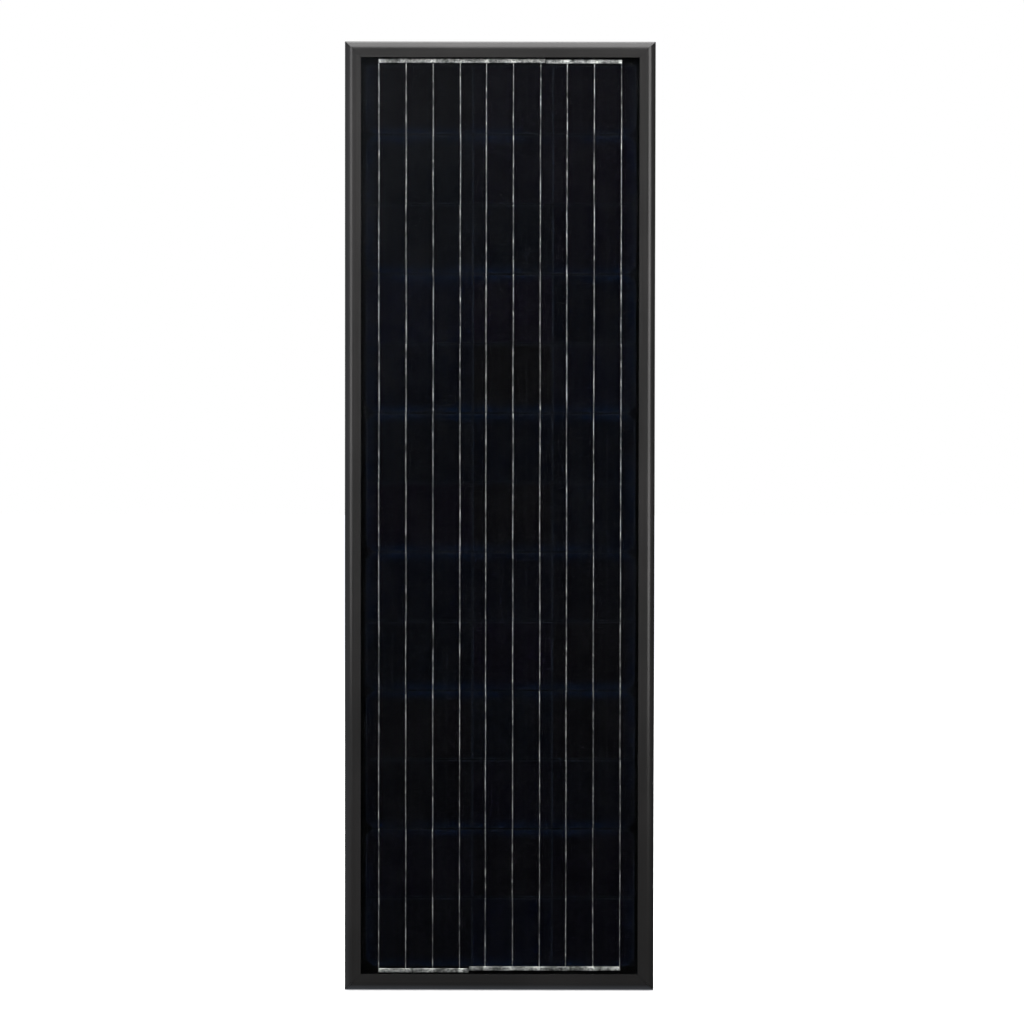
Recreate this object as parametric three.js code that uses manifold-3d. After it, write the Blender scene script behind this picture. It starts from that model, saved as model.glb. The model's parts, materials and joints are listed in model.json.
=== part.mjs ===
// A framed solar panel with three strings of cells, its junction box and its two cable glands.
// Millimetres. It stands upright: the cells face -Y, the back faces +Y and the top is +Z.
// The origin is the middle of the rear mounting plane, which the frame's flanges lie in.
import * as THREE from 'three';
import { mergeVertices } from 'three/addons/utils/BufferGeometryUtils.js';
import Module from 'manifold-3d';

const wasm = await Module();
wasm.setup();

// ---------------------------------------------------------------- driving dimensions

// Panel
const WIDTH = 359;
const HEIGHT = 1099;
const DEPTH = 35;
const FRONT = -DEPTH; // y of the frame's front face; depths below count back from it
const GAP = 0.3; // between pieces that touch on the real panel

// Frame extrusion, sizes counted inwards from its outer side and back from its front face
const WALL = 1.6;
const LIP_WIDTH = 18.7;
const BEVEL_WIDTH = 9.5;
const BEVEL_DEPTH = 5;
const BEVEL_STEPS = 7;
const CHAMBER_WIDTH = 10; // hollow box along the outer side; the laminate's groove starts here
const GROOVE = [1.6, 8.8]; // depth of the groove's front and back faces
const SHELF_WIDTH = 18;
const FLANGE_WIDTH = 28;
const MITRE_GAP = 0.2; // taken off each end of each rail

// Holes in the frame
const SLOT_WIDTH = 9;
const SLOT_LENGTH = 14;
const SLOT_INSET = 19;
const SLOT_HEIGHT = 300; // above and below the middle
const EARTH_HOLE_RADIUS = 2.1;
const EARTH_HOLE_HEIGHT = 60;
const DRAIN_SLOT = { length: 12, width: 3, depth: 15, offset: 80 };

// Corner keys inside the hollow rails
const KEY_INSET = [1.9, 8.1];
const KEY_DEPTH = [6.6, 33];
const KEY_ARM = 70;

// Laminate: depth of the front and back face of each layer
const SHEET_INSET = 10.6;
const GLASS = [2.3, 5.5];
const FRONT_FILM = [5.6, 5.95];
const WIRE = [6.05, 6.2];
const CELL = [6.15, 6.35];
const BUS = [6.1, 6.4];
const LEAD = [6.5, 6.7];
const REAR_FILM = [6.8, 7.15];
const BACKSHEET = [7.25, 7.65];
const SEAL = { outer: 10.1, inner: 10.5, lip: 17.7, depth: [1.7, 8.7], cavity: [2.2, 7.75] };

// Cells: rows of half-height cells; the outer corners of every cut wafer are clipped
const ROWS = 13;
const ROW_PITCH = 80.4;
const ROW_GAP = 2;
const CORNER_CLIP = 8;
const WIRE_PITCH = 31.35;
const WIRE_WIDTH = 1.2;
const RIBBON_WIDTH = 4.8;
const BUSES = {
  top_left: { from: -140.7, to: 52, height: 527.5 },
  top_right: { from: 53, to: 140.7, height: 526.8 },
  bottom_left: { from: -140.7, to: -35.6, height: -527.2 },
  bottom_right: { from: -35, to: 140.7, height: -524.9 },
};
const STRINGS = {
  left: {
    from: -154.8, to: -31.8, firstWire: -140.1, wires: 4, clip: -1, top: 'top_left', bottom: 'bottom_left',
  },
  centre: {
    from: -31, to: 60.8, firstWire: -16.1, wires: 3, clip: 0, top: 'top_left', bottom: 'bottom_right',
  },
  right: {
    from: 61.4, to: 156.6, firstWire: 77.4, wires: 3, clip: 1, top: 'top_right', bottom: 'bottom_right',
  },
};

// Junction box on the backsheet, seen as a tray with its floor towards the cells
const BOX_WIDTH = 110;
const BOX_HEIGHT = 90;
const BOX_MIDDLE = 440; // z of its middle
const BOX_CORNER = 7;
const BOX_WALL = 2.5;
const BOX_FLOOR = 2;
const BOX_TOP = BOX_MIDDLE + BOX_HEIGHT / 2;
const BOX_BOTTOM = BOX_MIDDLE - BOX_HEIGHT / 2;
const ADHESIVE = [FRONT + 7.75, FRONT + 8.75];
const BASE = [FRONT + 8.85, FRONT + 24.85];
const GASKET = [FRONT + 24.95, FRONT + 26.25];
const LID = [FRONT + 26.35, FRONT + 28.85];
const LEAD_SLOT = { x: [-42, 42], z: [466, 474] };

// Lid hinge above the box, and the snap latch below it
const HINGE = { y: FRONT + 27, z: BOX_TOP + 3.5, pin: 1.5, bore: 1.9, barrel: 2.8, ear: 3 };
const KNUCKLES = [-35, 35]; // x of the middle of each lid knuckle
const KNUCKLE_LENGTH = 13;
const EAR_WIDTH = 2.5;
const RIM_DROP = 2; // how far the lid's rim reaches into the box
const RIM_BREAK = 44; // half the width of its break above the glands
const LATCH_WIDTH = 16;
const LATCH_WALL = 1.6;

// Inside the box
const TERMINAL_PITCH = 30;
const TERMINAL = { width: 9, z: [422, 462], thickness: 1, lift: 3 };
const SCREW = { z: 428, radius: 2, head: 3.5, headHeight: 2.6, hole: 2.4, reach: 3.6 };
const DIODE = { radius: 3.2, length: 9, wire: 0.6, reach: 11.5, z: 447 };

// Cable glands, in the box's lower wall
const GLANDS = { left: -30, right: 30 };
const GLAND_Y = (BASE[0] + BOX_FLOOR + BASE[1]) / 2;
const GLAND_SIDES = 20;
const HEX_FLATS = 15;
const LOCKNUT_FLATS = 13.4;
const THREAD_RADIUS = 5.9;
const GLAND_BORE = 4.2;
const SEAL_BORE = 3.1;
const GLAND_STACK = { // distances below the box's lower wall
  collar: [0.2, 4], thread: 14, sealFrom: 6, sealTo: 13.7, nut: [4.4, 17], nutFace: 2.6,
};

// Blank rating plate on the backsheet
const LABEL = { width: 110, height: 62, z: 330, y: [FRONT + 7.75, FRONT + 7.95] };

// ---------------------------------------------------------------- materials

function material(color, roughness, metalness, extra = {}) {
  return new THREE.MeshStandardMaterial({ color, roughness, metalness, ...extra });
}

const blackAnodised = () => material(0x2a2a2b, 0.42, 0.85);
const rawAluminium = () => material(0xb4b6b8, 0.4, 0.9);
const temperedGlass = () => material(0xdfe8ea, 0.05, 0, { transparent: true, opacity: 0.3 });
const clearFilm = () => material(0xe8ebec, 0.3, 0, { transparent: true, opacity: 0.4 });
const darkSilicon = () => material(0x0b0d16, 0.3, 0.1);
const tinnedCopper = () => material(0xc4c6c8, 0.3, 0.95);
const blackSheet = () => material(0x111214, 0.6, 0);
const blackSilicone = () => material(0x141414, 0.7, 0);
const blackPlastic = () => material(0x1b1b1c, 0.5, 0);
const steel = () => material(0xa8a9ab, 0.35, 0.95);
const epoxy = () => material(0x1c1c1e, 0.45, 0);
const silverLabel = () => material(0xc9cbcc, 0.45, 0.2);

// ---------------------------------------------------------------- shape helpers

function solid(geometry) {
  const bare = geometry.clone();
  bare.deleteAttribute('normal');
  bare.deleteAttribute('uv');
  const merged = mergeVertices(bare);
  return new wasm.Manifold(new wasm.Mesh({
    numProp: 3,
    vertProperties: new Float32Array(merged.attributes.position.array),
    triVerts: new Uint32Array(merged.index.array),
  }));
}

function geometryOf(body) {
  const mesh = body.getMesh();
  const geometry = new THREE.BufferGeometry();
  geometry.setAttribute('position', new THREE.BufferAttribute(mesh.vertProperties, 3));
  geometry.setIndex(new THREE.BufferAttribute(mesh.triVerts, 1));
  geometry.computeVertexNormals();
  return geometry;
}

function join(...pieces) {
  return geometryOf(pieces.map(solid).reduce((whole, piece) => whole.add(piece)));
}

function cut(piece, ...cutters) {
  return geometryOf(cutters.map(solid).reduce((whole, cutter) => whole.subtract(cutter), solid(piece)));
}

function block([x0, x1], [y0, y1], [z0, z1]) {
  const box = new THREE.BoxGeometry(x1 - x0, y1 - y0, z1 - z0);
  return box.translate((x0 + x1) / 2, (y0 + y1) / 2, (z0 + z1) / 2);
}

// A flat shape drawn in X and Z, given thickness along Y
function slab(shape, [y0, y1], curveSegments = 5) {
  const plate = new THREE.ExtrudeGeometry(shape, { depth: y1 - y0, bevelEnabled: false, curveSegments });
  return plate.rotateX(Math.PI / 2).translate(0, y1, 0);
}

function roundedRectangle([x0, x1], [z0, z1], radius) {
  const shape = new THREE.Shape();
  shape.moveTo(x0 + radius, z0);
  shape.absarc(x1 - radius, z0 + radius, radius, -Math.PI / 2, 0);
  shape.absarc(x1 - radius, z1 - radius, radius, 0, Math.PI / 2);
  shape.absarc(x0 + radius, z1 - radius, radius, Math.PI / 2, Math.PI);
  shape.absarc(x0 + radius, z0 + radius, radius, Math.PI, 1.5 * Math.PI);
  return shape;
}

function barAlongX(radius, [x0, x1], y, z, sides = 16) {
  const bar = new THREE.CylinderGeometry(radius, radius, x1 - x0, sides);
  return bar.rotateZ(Math.PI / 2).translate((x0 + x1) / 2, y, z);
}

function barAlongY(radius, [y0, y1], x, z, sides = 16) {
  return new THREE.CylinderGeometry(radius, radius, y1 - y0, sides).translate(x, (y0 + y1) / 2, z);
}

// A turned tube along Z whose outer and inner radius stay the same
function tubeAlongZ(outer, inner, [z0, z1]) {
  const profile = [[inner, z0], [outer, z0], [outer, z1], [inner, z1], [inner, z0]];
  const outline = profile.map((p) => new THREE.Vector2(...p));
  return new THREE.LatheGeometry(outline, GLAND_SIDES).rotateX(Math.PI / 2);
}

// A hexagon with two of its flats facing front and back
function hexAlongZ(flats, [z0, z1]) {
  const prism = new THREE.CylinderGeometry(flats / Math.sqrt(3), flats / Math.sqrt(3), z1 - z0, 6);
  return prism.rotateY(Math.PI / 6).rotateX(Math.PI / 2).translate(0, 0, (z0 + z1) / 2);
}

// Depths counted back from the frame's front face, as y
function atDepth([front, back]) {
  return [FRONT + front, FRONT + back];
}

// ---------------------------------------------------------------- assembly

const panel = new THREE.Group();

function add(name, geometry, finish, place = {}) {
  const mesh = new THREE.Mesh(geometry, finish);
  mesh.name = name;
  mesh.position.set(...(place.position ?? [0, 0, 0]));
  mesh.rotation.y = place.turn ?? 0;
  panel.add(mesh);
}

// ---------------------------------------------------------------- frame

// The extrusion's section: x counts inwards from the outer side, y back from the front face
function railSection() {
  const section = new THREE.Shape();
  section.moveTo(0, DEPTH);
  section.lineTo(0, BEVEL_DEPTH);
  section.absellipse(BEVEL_WIDTH, BEVEL_DEPTH, BEVEL_WIDTH, BEVEL_DEPTH, Math.PI, 1.5 * Math.PI);
  section.lineTo(LIP_WIDTH, 0);
  section.lineTo(LIP_WIDTH, GROOVE[0]);
  section.lineTo(CHAMBER_WIDTH, GROOVE[0]);
  section.lineTo(CHAMBER_WIDTH, GROOVE[1]);
  section.lineTo(SHELF_WIDTH, GROOVE[1]);
  section.lineTo(SHELF_WIDTH, GROOVE[1] + WALL);
  section.lineTo(CHAMBER_WIDTH, GROOVE[1] + WALL);
  section.lineTo(CHAMBER_WIDTH, DEPTH - WALL);
  section.lineTo(FLANGE_WIDTH, DEPTH - WALL);
  section.lineTo(FLANGE_WIDTH, DEPTH);
  section.closePath();
  section.holes.push(chamberOutline());
  return section;
}

// The hollow follows the bevel, one wall inside it
function chamberOutline() {
  const inner = CHAMBER_WIDTH - WALL;
  const reach = BEVEL_WIDTH - WALL;
  const start = 2 * Math.PI - Math.acos((inner - BEVEL_WIDTH) / reach);
  const outline = new THREE.Path();
  outline.moveTo(WALL, DEPTH - WALL);
  outline.lineTo(inner, DEPTH - WALL);
  outline.absellipse(BEVEL_WIDTH, BEVEL_DEPTH, reach, BEVEL_DEPTH - WALL, start, Math.PI, true);
  outline.closePath();
  return outline;
}

// A left-hand rail along Z, its ends cut at 45 degrees by sliding each end's points along
function mitredRail(length, halfSpan) {
  const settings = { depth: 1, bevelEnabled: false, curveSegments: BEVEL_STEPS };
  const rail = new THREE.ExtrudeGeometry(railSection(), settings);
  const points = rail.attributes.position;
  for (let i = 0; i < points.count; i++) {
    const inwards = points.getX(i);
    const end = points.getZ(i) > 0.5 ? 1 : -1;
    const reach = length / 2 - MITRE_GAP - inwards;
    points.setXYZ(i, inwards - halfSpan, FRONT + points.getY(i), end * reach);
  }
  return rail;
}

function mountingSlot(height) {
  const middle = SLOT_INSET - WIDTH / 2;
  const across = [middle - SLOT_WIDTH / 2, middle + SLOT_WIDTH / 2];
  const along = [height - SLOT_LENGTH / 2, height + SLOT_LENGTH / 2];
  return slab(roundedRectangle(across, along, SLOT_WIDTH / 2 - 0.01), [-DEPTH / 4, 1]);
}

function longRail() {
  const earthHole = barAlongY(EARTH_HOLE_RADIUS, [-DEPTH / 4, 1], SLOT_INSET - WIDTH / 2, EARTH_HOLE_HEIGHT);
  return cut(mitredRail(HEIGHT, WIDTH / 2), mountingSlot(SLOT_HEIGHT), mountingSlot(-SLOT_HEIGHT), earthHole);
}

function shortRail() {
  const { length, width, depth, offset } = DRAIN_SLOT;
  const slots = [-offset, offset].map((z) => block(
    [-HEIGHT / 2 - 1, -HEIGHT / 2 + WALL + 0.1],
    atDepth([depth - width / 2, depth + width / 2]),
    [z - length / 2, z + length / 2],
  ));
  return cut(mitredRail(WIDTH, HEIGHT / 2), ...slots);
}

// An angle for the top left corner, drawn with that corner of the panel at its origin
function cornerKey() {
  const [outer, inner] = KEY_INSET;
  const thick = atDepth(KEY_DEPTH);
  const upright = block([outer, inner], thick, [-KEY_ARM, -outer]);
  const level = block([outer, KEY_ARM], thick, [-inner, -outer]);
  return join(upright, level);
}

function addFrame() {
  add('frame_rail_left', longRail(), blackAnodised());
  add('frame_rail_right', longRail(), blackAnodised(), { turn: Math.PI });
  add('frame_rail_top', shortRail(), blackAnodised(), { turn: Math.PI / 2 });
  add('frame_rail_bottom', shortRail(), blackAnodised(), { turn: -Math.PI / 2 });
  const corners = {
    top_left: [-1, 1, 0],
    top_right: [1, 1, 1],
    bottom_right: [1, -1, 2],
    bottom_left: [-1, -1, 3],
  };
  for (const [name, [side, end, quarters]] of Object.entries(corners)) {
    const position = [side * WIDTH / 2, 0, end * HEIGHT / 2];
    add(`corner_key_${name}`, cornerKey(), rawAluminium(), { position, turn: quarters * Math.PI / 2 });
  }
}

// ---------------------------------------------------------------- laminate

// A sheet the size of the panel less an inset all round
function sheet(inset, depths) {
  const x = WIDTH / 2 - inset;
  const z = HEIGHT / 2 - inset;
  return block([-x, x], atDepth(depths), [-z, z]);
}

// The sheet behind the cells, with the slot that the lead ribbons leave through
function slottedSheet(inset, depths) {
  return cut(sheet(inset, depths), block(LEAD_SLOT.x, atDepth([depths[0] - 1, depths[1] + 1]), LEAD_SLOT.z));
}

function perimeterSeal() {
  const whole = sheet(SEAL.outer, SEAL.depth);
  const laminateSpace = sheet(SEAL.inner, SEAL.cavity);
  const window = sheet(SEAL.lip, [SEAL.depth[0] - 1, SEAL.depth[1] + 1]);
  return cut(whole, laminateSpace, window);
}

function addLaminate() {
  add('perimeter_seal', perimeterSeal(), blackSilicone());
  add('front_glass', sheet(SHEET_INSET, GLASS), temperedGlass());
  add('front_encapsulant', sheet(SHEET_INSET, FRONT_FILM), clearFilm());
  add('rear_encapsulant', slottedSheet(SHEET_INSET, REAR_FILM), clearFilm());
  add('backsheet', slottedSheet(SHEET_INSET, BACKSHEET), blackSheet());
}

// ---------------------------------------------------------------- cell strings and ribbons

// A cell's outline. clip is -1 or 1 for a clipped corner on the left or right, and 0 for none
function cellOutline([x0, x1], [z0, z1], clip, clipAtTop) {
  const corners = [[x0, z0], [x1, z0], [x1, z1], [x0, z1]].map((c) => new THREE.Vector2(...c));
  const clipped = clip === 0 ? -1 : [[0, 3], [1, 2]][clip > 0 ? 1 : 0][clipAtTop ? 1 : 0];
  const points = corners.flatMap((corner, i) => {
    if (i !== clipped) return [corner];
    const towards = [corners[(i + 3) % 4], corners[(i + 1) % 4]];
    return towards.map((other) => corner.clone().add(other.clone().sub(corner).setLength(CORNER_CLIP)));
  });
  return new THREE.Shape(points);
}

function cellString({ from, to, firstWire, wires, clip, top, bottom }) {
  const pieces = [];
  for (let row = 0; row < ROWS; row++) {
    const middle = ((ROWS - 1) / 2 - row) * ROW_PITCH;
    const half = (ROW_PITCH - ROW_GAP) / 2;
    const outline = cellOutline([from, to], [middle - half, middle + half], clip, row % 2 === 1);
    pieces.push(slab(outline, atDepth(CELL)));
  }
  const reach = RIBBON_WIDTH / 2 + GAP;
  const ends = [BUSES[bottom].height + reach, BUSES[top].height - reach];
  for (let i = 0; i < wires; i++) {
    const x = firstWire + i * WIRE_PITCH;
    pieces.push(block([x - WIRE_WIDTH / 2, x + WIRE_WIDTH / 2], atDepth(WIRE), ends));
  }
  return join(...pieces);
}

function busRibbon({ from, to, height }) {
  return block([from, to], atDepth(BUS), [height - RIBBON_WIDTH / 2, height + RIBBON_WIDTH / 2]);
}

// A flat strip behind the cells along each leg of a route, then a tail bent back into the box
function leadRibbon(route) {
  const half = RIBBON_WIDTH / 2;
  const legs = route.slice(1).map(([x1, z1], i) => {
    const [x0, z0] = route[i];
    const across = [Math.min(x0, x1) - half, Math.max(x0, x1) + half];
    return block(across, atDepth(LEAD), [Math.min(z0, z1) - half, Math.max(z0, z1) + half]);
  });
  const [x, z] = route[route.length - 1];
  const thickness = LEAD[1] - LEAD[0];
  const tail = block([x - half, x + half], [FRONT + LEAD[0], BASE[0] + BOX_FLOOR + 6], [z, z + thickness]);
  return join(...legs, tail);
}

function addCells() {
  for (const [name, column] of Object.entries(STRINGS)) {
    add(`cell_string_${name}`, cellString(column), darkSilicon());
  }
  for (const [name, bus] of Object.entries(BUSES)) {
    add(`bus_ribbon_${name}`, busRibbon(bus), tinnedCopper());
  }
  const exit = (LEAD_SLOT.z[0] + LEAD_SLOT.z[1]) / 2;
  const jog = exit + 16;
  const { bottom_left: bottomLeft, top_left: topLeft, top_right: topRight } = BUSES;
  const side = topRight.from + 5;
  const routes = {
    left: [[-TERMINAL_PITCH - 8, bottomLeft.height], [-TERMINAL_PITCH - 8, jog], [-TERMINAL_PITCH, jog],
      [-TERMINAL_PITCH, exit]],
    middle: [[0, topLeft.height], [0, exit]],
    right: [[side, topRight.height], [side, jog], [TERMINAL_PITCH, jog], [TERMINAL_PITCH, exit]],
  };
  for (const [name, route] of Object.entries(routes)) {
    add(`lead_ribbon_${name}`, leadRibbon(route), tinnedCopper());
  }
}

// ---------------------------------------------------------------- junction box

function boxOutline(inset, radius = BOX_CORNER - inset) {
  const x = BOX_WIDTH / 2 - inset;
  return roundedRectangle([-x, x], [BOX_BOTTOM + inset, BOX_TOP - inset], Math.max(radius, 1));
}

function ringSlab(outerInset, innerInset, depths) {
  const outline = boxOutline(outerInset);
  outline.holes.push(boxOutline(innerInset));
  return slab(outline, depths);
}

// Two ears beside each lid knuckle, with the pin between them
function hingeEars() {
  const pieces = [];
  for (const middle of KNUCKLES) {
    const half = KNUCKLE_LENGTH / 2 + GAP + EAR_WIDTH;
    pieces.push(barAlongX(HINGE.pin, [middle - half + 0.5, middle + half - 0.5], HINGE.y, HINGE.z));
    for (const side of [-1, 1]) {
      const inner = middle + side * (half - EAR_WIDTH);
      const outer = middle + side * half;
      const x = [Math.min(inner, outer), Math.max(inner, outer)];
      const top = HINGE.z + HINGE.ear;
      pieces.push(barAlongX(HINGE.ear, x, HINGE.y, HINGE.z));
      pieces.push(block(x, [BASE[1] - 4, BASE[1] - 0.4], [BOX_TOP - 1, top]));
      pieces.push(block(x, [BASE[1] - 1, HINGE.y], [HINGE.z - HINGE.ear, top]));
    }
  }
  return pieces;
}

function terminalPost(x) {
  const half = TERMINAL.width / 2 - 1;
  const height = BASE[0] + BOX_FLOOR;
  return block([x - half, x + half], [height - 0.5, height + TERMINAL.lift], TERMINAL.z);
}

function junctionBoxBase() {
  const tray = cut(
    slab(boxOutline(0), BASE),
    slab(boxOutline(BOX_WALL), [BASE[0] + BOX_FLOOR, BASE[1] + 1]),
    block(LEAD_SLOT.x, [BASE[0] - 1, BASE[0] + BOX_FLOOR + 1], LEAD_SLOT.z),
  );
  const catchPiece = block([-5, 5], [BASE[1] - 5.4, BASE[1] - 3.6], [BOX_BOTTOM - 0.5, BOX_BOTTOM + 1]);
  const posts = terminalPositions().map(terminalPost);
  const whole = join(tray, catchPiece, ...posts, ...hingeEars());
  const holeDepth = [BASE[0] + 1, BASE[1]];
  const screwHoles = terminalPositions().map((x) => barAlongY(SCREW.hole, holeDepth, x, SCREW.z));
  const glandHoles = Object.values(GLANDS).map((x) => {
    const hole = new THREE.CylinderGeometry(THREAD_RADIUS + GAP, THREAD_RADIUS + GAP, 3 * BOX_WALL, 24);
    return hole.rotateX(Math.PI / 2).translate(x, GLAND_Y, BOX_BOTTOM);
  });
  return cut(whole, ...screwHoles, ...glandHoles);
}

function terminalPositions() {
  return [-TERMINAL_PITCH, 0, TERMINAL_PITCH];
}

// The lid: a plate, a rim that drops inside the walls, two knuckles and a latch with a window
function junctionBoxLid() {
  const plate = slab(boxOutline(0), LID);
  const raised = slab(boxOutline(9), [LID[1] - 0.5, LID[1] + 1.2]);
  const breakDepth = [BASE[1] - RIM_DROP - 1, LID[0]];
  const rimBreak = block([-RIM_BREAK, RIM_BREAK], breakDepth, [BOX_BOTTOM, BOX_BOTTOM + 8]);
  const rim = cut(ringSlab(BOX_WALL + 0.7, BOX_WALL + 2.2, [BASE[1] - RIM_DROP, LID[0] + 0.5]), rimBreak);
  const latchBottom = BOX_BOTTOM - 0.6 - LATCH_WALL;
  const latchSide = [-LATCH_WIDTH / 2, LATCH_WIDTH / 2];
  const latch = join(
    block(latchSide, [BASE[1] - 7, LID[1]], [latchBottom, latchBottom + LATCH_WALL]),
    block(latchSide, LID, [latchBottom, BOX_BOTTOM + 2]),
  );
  const knuckles = KNUCKLES.flatMap((x) => {
    const length = [x - KNUCKLE_LENGTH / 2, x + KNUCKLE_LENGTH / 2];
    const tongue = block(length, LID, [BOX_TOP - 2, HINGE.z]);
    return [barAlongX(HINGE.barrel, length, HINGE.y, HINGE.z), tongue];
  });
  const bores = KNUCKLES.map((x) => {
    const span = [x - KNUCKLE_LENGTH, x + KNUCKLE_LENGTH];
    return barAlongX(HINGE.bore, span, HINGE.y, HINGE.z);
  });
  const window = block([-6, 6], [BASE[1] - 5.8, BASE[1] - 3.2], [latchBottom - 1, BOX_BOTTOM - 0.1]);
  return cut(join(plate, raised, rim, latch, ...knuckles), ...bores, window);
}

function terminal(x) {
  const half = TERMINAL.width / 2;
  const floor = BASE[0] + BOX_FLOOR + TERMINAL.lift + 0.1;
  const [low, high] = TERMINAL.z;
  const strip = block([x - half, x + half], [floor, floor + TERMINAL.thickness], [low, high]);
  const clip = block([x - half + 1, x + half - 1], [floor, floor + 4], [high - 2, high - 1]);
  return cut(join(strip, clip), barAlongY(SCREW.hole, [floor - 1, floor + 3], x, SCREW.z));
}

function terminalScrew(x) {
  const seat = BASE[0] + BOX_FLOOR + TERMINAL.lift + TERMINAL.thickness + 0.3;
  const head = barAlongY(SCREW.head, [seat, seat + SCREW.headHeight], x, SCREW.z);
  const shank = barAlongY(SCREW.radius, [seat - SCREW.reach, seat + 0.5], x, SCREW.z);
  const slot = block([x - 0.5, x + 0.5], [seat + SCREW.headHeight - 1, seat + SCREW.headHeight + 1],
    [SCREW.z - SCREW.head - 1, SCREW.z + SCREW.head + 1]);
  return cut(join(head, shank), slot);
}

function bypassDiode(x) {
  const y = BASE[0] + BOX_FLOOR + TERMINAL.lift + TERMINAL.thickness + DIODE.wire + 0.3;
  const body = barAlongX(DIODE.radius, [x - DIODE.length / 2, x + DIODE.length / 2], y, DIODE.z);
  const wire = barAlongX(DIODE.wire, [x - DIODE.reach, x + DIODE.reach], y, DIODE.z, 8);
  return join(body, wire);
}

function addJunctionBox() {
  const slot = block(LEAD_SLOT.x, [ADHESIVE[0] - 1, ADHESIVE[1] + 1], LEAD_SLOT.z);
  add('junction_box_adhesive', cut(slab(boxOutline(3), ADHESIVE), slot), blackSilicone());
  add('junction_box_base', junctionBoxBase(), blackPlastic());
  add('junction_box_lid', junctionBoxLid(), blackPlastic());
  add('lid_gasket', ringSlab(1, BOX_WALL, GASKET), blackSilicone());
  const [left, middle, right] = terminalPositions();
  const sides = { left, middle, right };
  for (const [name, x] of Object.entries(sides)) {
    add(`terminal_${name}`, terminal(x), tinnedCopper());
    add(`terminal_screw_${name}`, terminalScrew(x), steel());
  }
  add('bypass_diode_left', bypassDiode(-TERMINAL_PITCH / 2), epoxy());
  add('bypass_diode_right', bypassDiode(TERMINAL_PITCH / 2), epoxy());
}

// ---------------------------------------------------------------- cable glands

// Gland pieces are drawn about the gland's axis, with the box's lower wall at z = 0
function glandBody() {
  const [collarTop, collarBottom] = GLAND_STACK.collar;
  const collar = hexAlongZ(HEX_FLATS, [-collarBottom, -collarTop]);
  const thread = tubeAlongZ(THREAD_RADIUS, GLAND_BORE, [-GLAND_STACK.thread, BOX_WALL + 4.5]);
  const bore = new THREE.CylinderGeometry(GLAND_BORE, GLAND_BORE, 60, GLAND_SIDES).rotateX(Math.PI / 2);
  return cut(join(collar, thread), bore);
}

function glandNut() {
  const [top, bottom] = GLAND_STACK.nut;
  const whole = hexAlongZ(HEX_FLATS, [-bottom + 3, -top]);
  const nose = new THREE.CylinderGeometry(HEX_FLATS / 2 - 1.6, HEX_FLATS / 2, 3.5, GLAND_SIDES);
  nose.rotateX(-Math.PI / 2).translate(0, 0, -bottom + 1.75);
  const inside = THREAD_RADIUS + GAP;
  const depth = bottom - top - GLAND_STACK.nutFace;
  const hollow = new THREE.CylinderGeometry(inside, inside, depth + 1, GLAND_SIDES);
  hollow.rotateX(Math.PI / 2).translate(0, 0, -top + 1 - (depth + 1) / 2);
  const mouthRadius = SEAL_BORE + 0.5;
  const mouth = new THREE.CylinderGeometry(mouthRadius, mouthRadius, 60, GLAND_SIDES).rotateX(Math.PI / 2);
  return cut(join(whole, nose), hollow, mouth);
}

function glandLocknut() {
  const nut = hexAlongZ(LOCKNUT_FLATS, [BOX_WALL + GAP, BOX_WALL + GAP + 3]);
  const inside = THREAD_RADIUS + GAP;
  return cut(nut, new THREE.CylinderGeometry(inside, inside, 60, GLAND_SIDES).rotateX(Math.PI / 2));
}

function addGlands() {
  const { sealFrom, sealTo } = GLAND_STACK;
  for (const [name, x] of Object.entries(GLANDS)) {
    const place = { position: [x, GLAND_Y, BOX_BOTTOM] };
    add(`gland_body_${name}`, glandBody(), blackPlastic(), place);
    const seal = tubeAlongZ(GLAND_BORE - GAP, SEAL_BORE, [-sealTo, -sealFrom]);
    add(`gland_seal_${name}`, seal, blackSilicone(), place);
    add(`gland_nut_${name}`, glandNut(), blackPlastic(), place);
    add(`gland_locknut_${name}`, glandLocknut(), blackPlastic(), place);
  }
}

function addLabel() {
  const x = LABEL.width / 2;
  const z = [LABEL.z - LABEL.height / 2, LABEL.z + LABEL.height / 2];
  add('rating_label', slab(roundedRectangle([-x, x], z, 3), LABEL.y), silverLabel());
}

addFrame();
addLaminate();
addCells();
addJunctionBox();
addGlands();
addLabel();

export default panel;
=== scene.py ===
"""A framed solar panel: three strings of black cells under glass, with its junction box behind.

The panel stands upright as in the row frame: cells towards -Y, back towards +Y, top towards +Z.
Everything is in metres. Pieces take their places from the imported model's boxes.
"""

import json
import math
import random

import bmesh
import bpy
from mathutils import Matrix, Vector, noise


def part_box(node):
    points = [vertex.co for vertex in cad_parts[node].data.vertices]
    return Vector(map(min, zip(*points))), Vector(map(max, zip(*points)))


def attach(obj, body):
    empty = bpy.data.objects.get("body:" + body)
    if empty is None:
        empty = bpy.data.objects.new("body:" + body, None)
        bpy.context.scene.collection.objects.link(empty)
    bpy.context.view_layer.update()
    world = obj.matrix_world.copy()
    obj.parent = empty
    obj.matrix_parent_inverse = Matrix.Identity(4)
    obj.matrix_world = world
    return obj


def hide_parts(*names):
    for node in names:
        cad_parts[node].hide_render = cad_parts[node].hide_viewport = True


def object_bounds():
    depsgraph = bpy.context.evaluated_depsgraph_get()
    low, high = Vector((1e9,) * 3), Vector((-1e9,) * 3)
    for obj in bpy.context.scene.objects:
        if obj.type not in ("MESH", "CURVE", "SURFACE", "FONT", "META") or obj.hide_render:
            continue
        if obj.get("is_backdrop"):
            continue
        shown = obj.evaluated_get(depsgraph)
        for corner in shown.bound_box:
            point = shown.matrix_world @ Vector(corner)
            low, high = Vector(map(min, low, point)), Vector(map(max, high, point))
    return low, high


MM = 0.001

# ---------------------------------------------------------------- driving dimensions

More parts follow.
